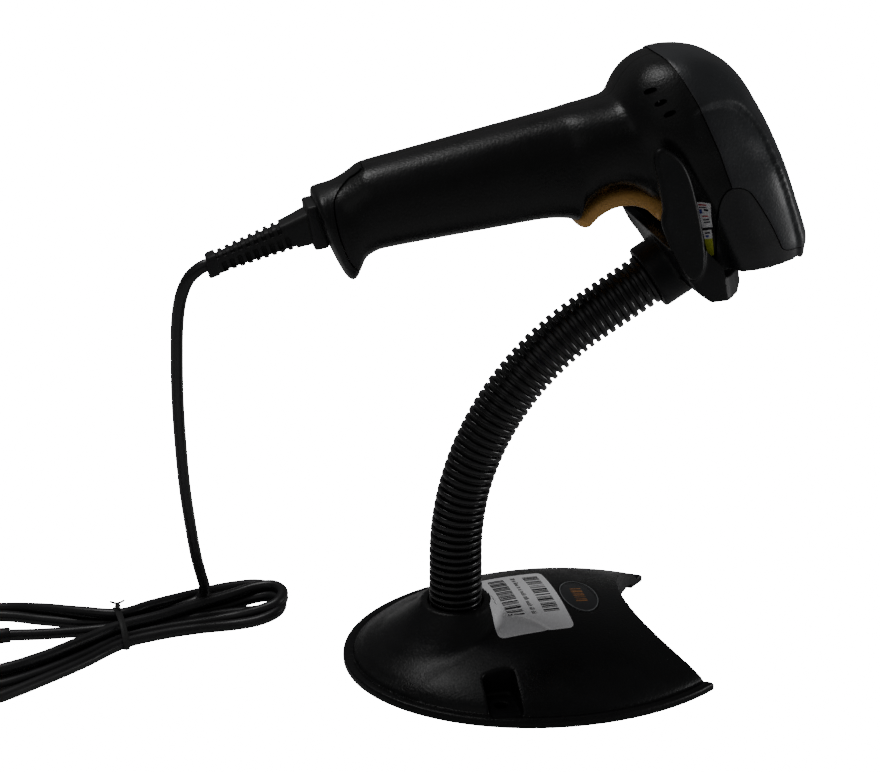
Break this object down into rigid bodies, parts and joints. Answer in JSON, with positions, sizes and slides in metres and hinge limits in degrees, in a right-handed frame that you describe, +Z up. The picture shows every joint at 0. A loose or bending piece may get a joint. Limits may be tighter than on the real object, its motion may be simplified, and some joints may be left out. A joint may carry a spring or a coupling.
{
  "type": "handheld barcode scanner with gooseneck stand",
  "caption": "Corded handheld barcode scanner with an amber trigger, resting in a cradle on a flexible ribbed neck that rises from a weighted oval base with an open front notch.",
  "frame": {"origin": "centre of the oval base's outline, on the table plane", "axes": "+X from the neck towards the open notch and the scanner's nose, +Z up, y = 0 is the plane of symmetry of scanner and stand"},
  "size_m": [0.3554, 0.134, 0.2291],
  "materials": {
    "stand_black": "fine texture",
    "steel_plate": "satin",
    "zinc_screw": "satin",
    "foot_rubber": "matte",
    "paper_label": "matte",
    "badge_grey": "satin",
    "steel_link": "satin",
    "sleeve_black": "glossy",
    "gun_black": "fine texture",
    "hood_grey": "satin",
    "window_red": "clear",
    "trigger_amber": "satin",
    "part_black": "matte",
    "board_green": "satin",
    "lens_dark": "glossy",
    "socket_ivory": "matte",
    "cord_black": "satin",
    "plug_steel": "bright"
  },
  "bodies": {
    "stand_base": {"base_shell": "stand_black", "base_plate": "steel_plate", "ballast_weight": "steel_plate", "base_screws": "zinc_screw", "rubber_feet": "foot_rubber", "neck_nut": "zinc_screw", "setup_label": "paper_label", "badge_plate": "badge_grey", "neck_link_0": "steel_link", "neck_sleeve_0": "sleeve_black", "cord_tube": "cord_black", "cord_hank": "cord_black", "twist_tie": "cord_black", "usb_boot": "cord_black", "usb_shell": "plug_steel"},
    "neck_lower": {"neck_link_1": "steel_link", "neck_sleeve_1": "sleeve_black"},
    "neck_middle": {"neck_link_2": "steel_link", "neck_sleeve_2": "sleeve_black"},
    "neck_upper": {"neck_link_3": "steel_link", "neck_sleeve_3": "sleeve_black"},
    "cradle_body": {"neck_link_4": "steel_link", "neck_sleeve_4": "sleeve_black", "cradle": "stand_black", "collar_screw": "zinc_screw"},
    "scanner": {"housing_left": "gun_black", "housing_right": "gun_black", "front_hood": "hood_grey", "window_bezel": "hood_grey", "scan_window": "window_red", "end_cap": "gun_black", "trigger_pin": "steel_link", "trigger_spring": "steel_link", "trigger_switch": "part_black", "chassis": "gun_black", "main_board": "board_green", "scan_engine": "part_black", "engine_lens": "lens_dark", "light_board": "board_green", "beeper": "part_black", "cable_socket": "socket_ivory", "cable_plug": "socket_ivory", "strain_relief": "cord_black", "housing_screws": "zinc_screw", "marker_stickers": "paper_label"},
    "trigger_body": {"trigger": "trigger_amber"}
  },
  "joints": [
    {"name": "neck_lean", "type": "hinge", "parent": "stand_base", "child": "neck_lower", "pos_m": [-0.036, 0, 0.034], "axis": [1, 0, 0], "range_deg": [-10, 10], "deforming": ["cord_tube"]},
    {"name": "neck_bend_low", "type": "hinge", "parent": "neck_lower", "child": "neck_middle", "pos_m": [-0.03349, 0, 0.06782], "axis": [0, 1, 0], "range_deg": [-9, 7]},
    {"name": "neck_bend_mid", "type": "hinge", "parent": "neck_middle", "child": "neck_upper", "pos_m": [-0.01766, 0, 0.10429], "axis": [0, 1, 0], "range_deg": [-9, 7]},
    {"name": "neck_bend_top", "type": "hinge", "parent": "neck_upper", "child": "cradle_body", "pos_m": [0.0106, 0, 0.13226], "axis": [0, 1, 0], "range_deg": [-9, 7]},
    {"name": "scanner_lift", "type": "slide", "parent": "cradle_body", "child": "scanner", "axis": [-0.1736, 0, 0.9848], "range_m": [0, 0.055]},
    {"name": "trigger_pull", "type": "hinge", "parent": "scanner", "child": "trigger_body", "pos_m": [0.04327, 0, 0.17783], "axis": [0, 1, 0], "range_deg": [0, 7], "stiffness_Nm_per_rad": 1.2, "springref_deg": -2.86, "deforming": ["trigger_spring"]}
  ],
  "couplings": [
    {"joint": "neck_bend_mid", "follows": "neck_bend_low", "ratio": 1},
    {"joint": "neck_bend_top", "follows": "neck_bend_low", "ratio": 1}
  ]
}
